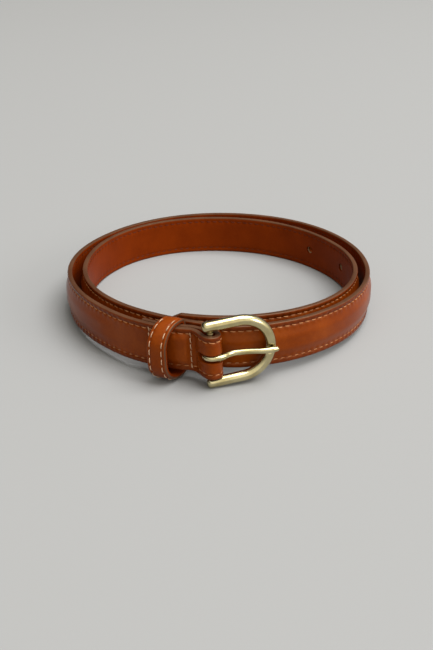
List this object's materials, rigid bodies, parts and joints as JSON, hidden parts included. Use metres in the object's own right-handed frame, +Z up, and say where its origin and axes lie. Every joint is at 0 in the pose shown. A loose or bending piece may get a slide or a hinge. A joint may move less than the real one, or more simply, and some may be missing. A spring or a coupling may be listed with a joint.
{
  "type": "leather belt",
  "caption": "Slim padded leather belt with a horseshoe buckle, hinged prong, sliding keeper and punched tip, coiled in two turns and standing on its edge.",
  "frame": {"origin": "on the surface the coil stands on, under the middle of the whole object's box", "axes": "+Z up, along the strap's width and the buckle's bar; -Y towards the buckle, which is the front; +X from the keeper towards the buckle's bow"},
  "size_m": [0.1506, 0.1644, 0.0328],
  "materials": {
    "face_leather": "glossy smooth tan",
    "lining_leather": "smooth satin red-brown",
    "filler_board": "raw split leather",
    "stitching": "twisted pale tan thread",
    "lining_stitching": "twisted brown thread",
    "buckle_metal": "satin pale brass",
    "staple_wire": "bright wire"
  },
  "bodies": {
    "strap": {"strap_face": "face_leather", "strap_filler": "filler_board", "strap_lining": "lining_leather", "edge_thread_face": "stitching", "edge_thread_lining": "lining_stitching", "chape_thread_right": "stitching", "chape_thread_left": "stitching"},
    "buckle": {"buckle_frame": "buckle_metal", "buckle_bar": "buckle_metal"},
    "prong": {"prong": "buckle_metal"},
    "keeper": {"keeper_band": "face_leather", "keeper_lining": "lining_leather", "keeper_thread_left": "stitching", "keeper_thread_right": "stitching", "keeper_staple": "staple_wire"}
  },
  "joints": [
    {"name": "buckle_hinge", "type": "hinge", "parent": "strap", "child": "buckle", "pos_m": [-0.00266, -0.07737, 0.01591], "axis": [0.0838, 0.024, -0.9962], "range_deg": [0, 45]},
    {"name": "prong_hinge", "type": "hinge", "parent": "buckle", "child": "prong", "pos_m": [-0.00266, -0.07737, 0.01591], "axis": [0.0838, 0.024, -0.9962], "range_deg": [0, 75]},
    {"name": "keeper_slide", "type": "hinge", "parent": "strap", "child": "keeper", "pos_m": [-0.00313, -0.01813, 0.016], "axis": [0, 0, -1], "range_deg": [-1, 5]}
  ]
}
